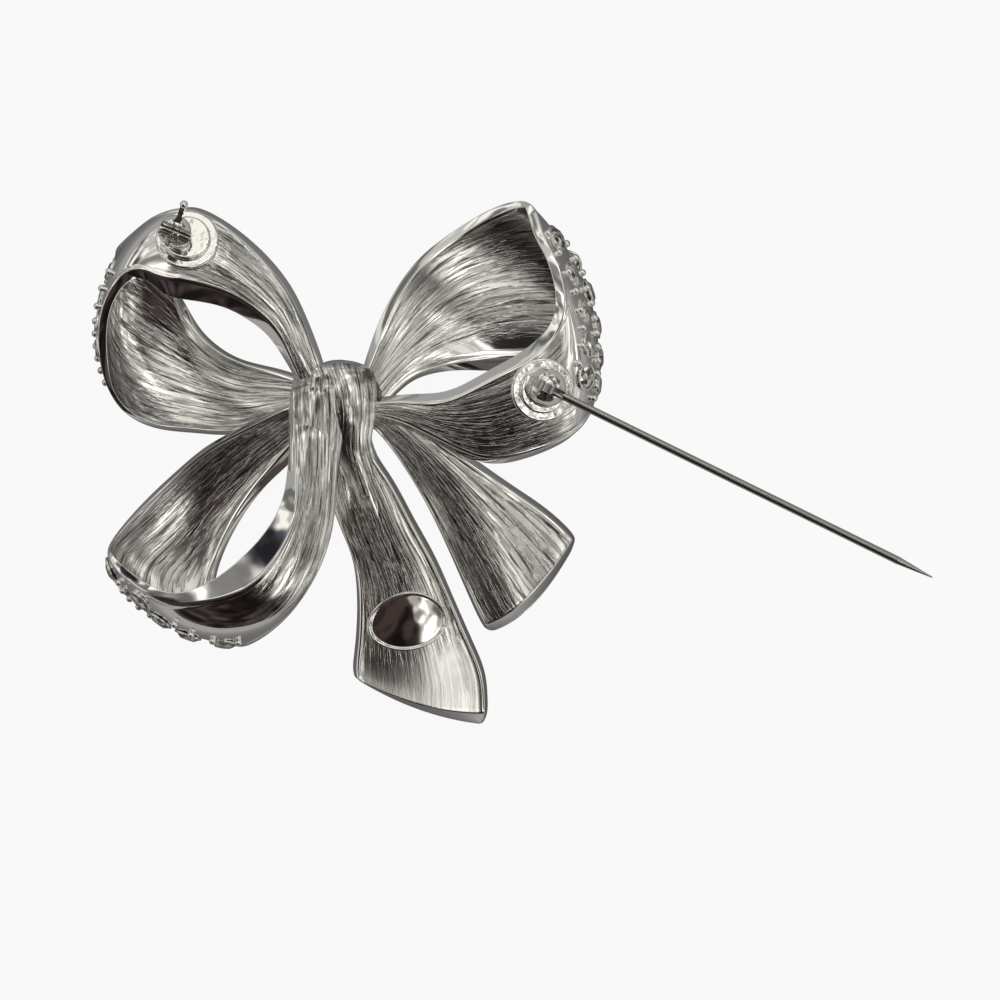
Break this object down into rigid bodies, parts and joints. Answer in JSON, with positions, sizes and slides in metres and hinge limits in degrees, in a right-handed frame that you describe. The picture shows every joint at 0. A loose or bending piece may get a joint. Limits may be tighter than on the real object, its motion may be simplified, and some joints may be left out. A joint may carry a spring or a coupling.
{
  "type": "bow brooch",
  "caption": "Cast metal ribbon bow brooch with clear round stones round its loops, an oval plaque on a tail, a hinged pin stem and a ball catch with a turning lock ring, lying face down",
  "frame": {"origin": "the middle of the brooch's box with the pin swung open, on the surface it lies on face down", "axes": "+Z points out of the brooch's back, +X roughly along the opened pin away from the bow, +Y to the tops of the loops"},
  "size_m": [0.1006, 0.0638, 0.0171],
  "materials": {
    "cast_metal": "rhodium plated, engraved with fine lines on the strips and polished on the rims",
    "findings": "polished plating",
    "stem_metal": "polished drawn wire",
    "stone": "clear cut glass"
  },
  "bodies": {
    "brooch": {"bow": "cast_metal", "hinge_housing": "findings", "hinge_rivet": "findings", "catch_housing": "findings", "stone_ur_1": "stone", "stone_ur_2": "stone", "stone_ur_3": "stone", "stone_ur_4": "stone", "stone_ur_5": "stone", "stone_ur_6": "stone", "stone_ur_7": "stone", "stone_ur_8": "stone", "stone_ur_9": "stone", "stone_ur_10": "stone", "stone_ul_1": "stone", "stone_ul_2": "stone", "stone_ul_3": "stone", "stone_ul_4": "stone", "stone_ll_1": "stone", "stone_ll_2": "stone", "stone_ll_3": "stone", "stone_ll_4": "stone", "stone_ll_5": "stone", "stone_ll_6": "stone", "stone_ll_7": "stone", "stone_ll_8": "stone"},
    "stem": {"pin_stem": "stem_metal"},
    "lock": {"catch_rotor": "findings"}
  },
  "joints": [
    {"name": "pin_swing", "type": "hinge", "parent": "brooch", "child": "stem", "pos_m": [0.00447, 0.00892, 0.01453], "axis": [-0.4142, -0.9102, 0], "range_deg": [0, 180]},
    {"name": "lock_turn", "type": "hinge", "parent": "brooch", "child": "lock", "pos_m": [-0.03959, 0.02742, 0.01453], "axis": [0.9221, -0.387, 0], "range_deg": [0, 90]}
  ]
}
